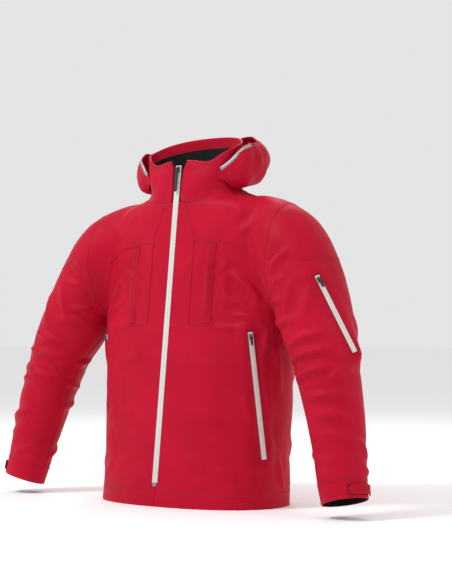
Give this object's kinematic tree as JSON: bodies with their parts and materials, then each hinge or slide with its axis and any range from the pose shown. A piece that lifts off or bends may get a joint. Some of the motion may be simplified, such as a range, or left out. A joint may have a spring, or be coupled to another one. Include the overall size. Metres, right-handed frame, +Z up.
{
  "type": "hardshell jacket",
  "caption": "Hooded waterproof shell jacket with a full front zip, zipped hand and sleeve pockets, chest pockets and tabbed cuffs",
  "frame": {"origin": "under the middle of the jacket, level with the bottom edge of the hem band", "axes": "+Z up to the collar, -Y to the jacket's front, +X to the wearer's left"},
  "size_m": [1.0268, 0.3132, 0.8567],
  "materials": {
    "shell_fabric": "matt coated plain weave",
    "lining_fabric": "brushed knit",
    "zip_tape": "laminated satin",
    "zip_metal": "satin grey",
    "pull_rubber": "matt moulded",
    "reflective_trim": "retroreflective grey"
  },
  "bodies": {
    "shell": {"placket_left": "shell_fabric", "front_panel_left": "shell_fabric", "side_panel_left": "shell_fabric", "front_yoke_left": "shell_fabric", "shoulder_panel_left": "shell_fabric", "chest_pocket_welt_left": "shell_fabric", "hand_pocket_bag_left": "lining_fabric", "placket_right": "shell_fabric", "front_panel_right": "shell_fabric", "side_panel_right": "shell_fabric", "front_yoke_right": "shell_fabric", "shoulder_panel_right": "shell_fabric", "chest_pocket_welt_right": "shell_fabric", "hand_pocket_bag_right": "lining_fabric", "back_panel": "shell_fabric", "back_yoke": "shell_fabric", "nape_panel": "shell_fabric", "hem_band": "shell_fabric", "back_lining": "lining_fabric", "collar": "shell_fabric", "collar_lining": "lining_fabric", "hanger_loop": "lining_fabric", "hood_neck_flange": "shell_fabric", "front_zip_tape_left": "zip_tape", "front_zip_tape_right": "zip_tape", "front_zip_bottom_stop": "zip_metal", "storm_flap": "shell_fabric", "hand_pocket_zip_left_tape_left": "zip_tape", "hand_pocket_zip_left_tape_right": "zip_tape", "hand_pocket_zip_right_tape_left": "zip_tape", "hand_pocket_zip_right_tape_right": "zip_tape"},
    "upper_sleeve_left": {"sleeve_upper_left": "shell_fabric", "sleeve_pocket_zip_tape_left": "zip_tape", "sleeve_pocket_zip_tape_right": "zip_tape"},
    "forearm_left": {"sleeve_lower_left": "shell_fabric", "cuff_left": "shell_fabric", "cuff_loop_patch_left": "lining_fabric"},
    "cuff_tab_left": {"cuff_tab_left": "shell_fabric"},
    "pocket_slider_left": {"hand_pocket_zip_left_slider": "zip_metal"},
    "pocket_puller_left": {"hand_pocket_zip_left_puller": "zip_metal"},
    "upper_sleeve_right": {"sleeve_upper_right": "shell_fabric"},
    "forearm_right": {"sleeve_lower_right": "shell_fabric", "cuff_right": "shell_fabric", "cuff_loop_patch_right": "lining_fabric"},
    "cuff_tab_right": {"cuff_tab_right": "shell_fabric"},
    "pocket_slider_right": {"hand_pocket_zip_right_slider": "zip_metal"},
    "pocket_puller_right": {"hand_pocket_zip_right_puller": "zip_metal"},
    "hood": {"hood_shell": "shell_fabric", "hood_brim": "shell_fabric", "hood_reflective_trim_left": "reflective_trim", "hood_reflective_trim_right": "reflective_trim", "hood_adjuster_tab": "shell_fabric"},
    "front_slider": {"front_zip_slider": "zip_metal"},
    "front_puller": {"front_zip_puller": "pull_rubber"},
    "sleeve_slider": {"sleeve_pocket_zip_slider": "zip_metal"},
    "sleeve_puller": {"sleeve_pocket_zip_puller": "zip_metal"}
  },
  "joints": [
    {"name": "front_zip_slide", "type": "slide", "parent": "shell", "child": "front_slider", "axis": [0, -0.1191, -0.9929], "range_m": [0, 0.697]},
    {"name": "front_puller_swing", "type": "hinge", "parent": "front_slider", "child": "front_puller", "pos_m": [0, -0.07125, 0.75993], "axis": [-1, 0, 0], "range_deg": [0, 150]},
    {"name": "pocket_zip_slide_left", "type": "slide", "parent": "shell", "child": "pocket_slider_left", "axis": [0.0834, 0.071, -0.994], "range_m": [0, 0.255]},
    {"name": "pocket_puller_swing_left", "type": "hinge", "parent": "pocket_slider_left", "child": "pocket_puller_left", "pos_m": [0.21053, -0.07535, 0.38049], "axis": [-0.6522, -0.7503, -0.1083], "range_deg": [0, 150]},
    {"name": "pocket_zip_slide_right", "type": "slide", "parent": "shell", "child": "pocket_slider_right", "axis": [-0.0834, 0.071, -0.994], "range_m": [0, 0.255]},
    {"name": "pocket_puller_swing_right", "type": "hinge", "parent": "pocket_slider_right", "child": "pocket_puller_right", "pos_m": [-0.21053, -0.07535, 0.38049], "axis": [-0.6522, 0.7503, 0.1083], "range_deg": [0, 150]},
    {"name": "sleeve_zip_slide", "type": "slide", "parent": "upper_sleeve_left", "child": "sleeve_slider", "axis": [0.4365, 0.1364, -0.8893], "range_m": [0, 0.155]},
    {"name": "sleeve_puller_swing", "type": "hinge", "parent": "sleeve_slider", "child": "sleeve_puller", "pos_m": [0.3853, -0.0729, 0.5017], "axis": [-0.4677, -0.81, -0.3538], "range_deg": [0, 150]},
    {"name": "shoulder_left", "type": "hinge", "parent": "shell", "child": "upper_sleeve_left", "pos_m": [0.258, 0.002, 0.669], "axis": [0, -1, 0], "range_deg": [0, 50]},
    {"name": "elbow_left", "type": "hinge", "parent": "upper_sleeve_left", "child": "forearm_left", "pos_m": [0.388, -0.1196, 0.3143], "axis": [-0.9055, 0, -0.4244], "range_deg": [0, 80]},
    {"name": "cuff_tab_open_left", "type": "hinge", "parent": "forearm_left", "child": "cuff_tab_left", "pos_m": [0.49808, -0.05486, 0.05611], "axis": [-0.1712, 0.2073, 0.9632], "range_deg": [0, 110]},
    {"name": "shoulder_right", "type": "hinge", "parent": "shell", "child": "upper_sleeve_right", "pos_m": [-0.258, 0.002, 0.669], "axis": [0, 1, 0], "range_deg": [0, 50]},
    {"name": "elbow_right", "type": "hinge", "parent": "upper_sleeve_right", "child": "forearm_right", "pos_m": [-0.388, -0.1196, 0.3143], "axis": [-0.9055, 0, 0.4244], "range_deg": [0, 80]},
    {"name": "cuff_tab_open_right", "type": "hinge", "parent": "forearm_right", "child": "cuff_tab_right", "pos_m": [-0.49808, -0.05486, 0.05611], "axis": [-0.1712, -0.2073, -0.9632], "range_deg": [0, 110]},
    {"name": "hood_raise", "type": "hinge", "parent": "shell", "child": "hood", "pos_m": [0, -0.062, 0.705], "axis": [1, 0, 0], "range_deg": [0, 30]}
  ]
}
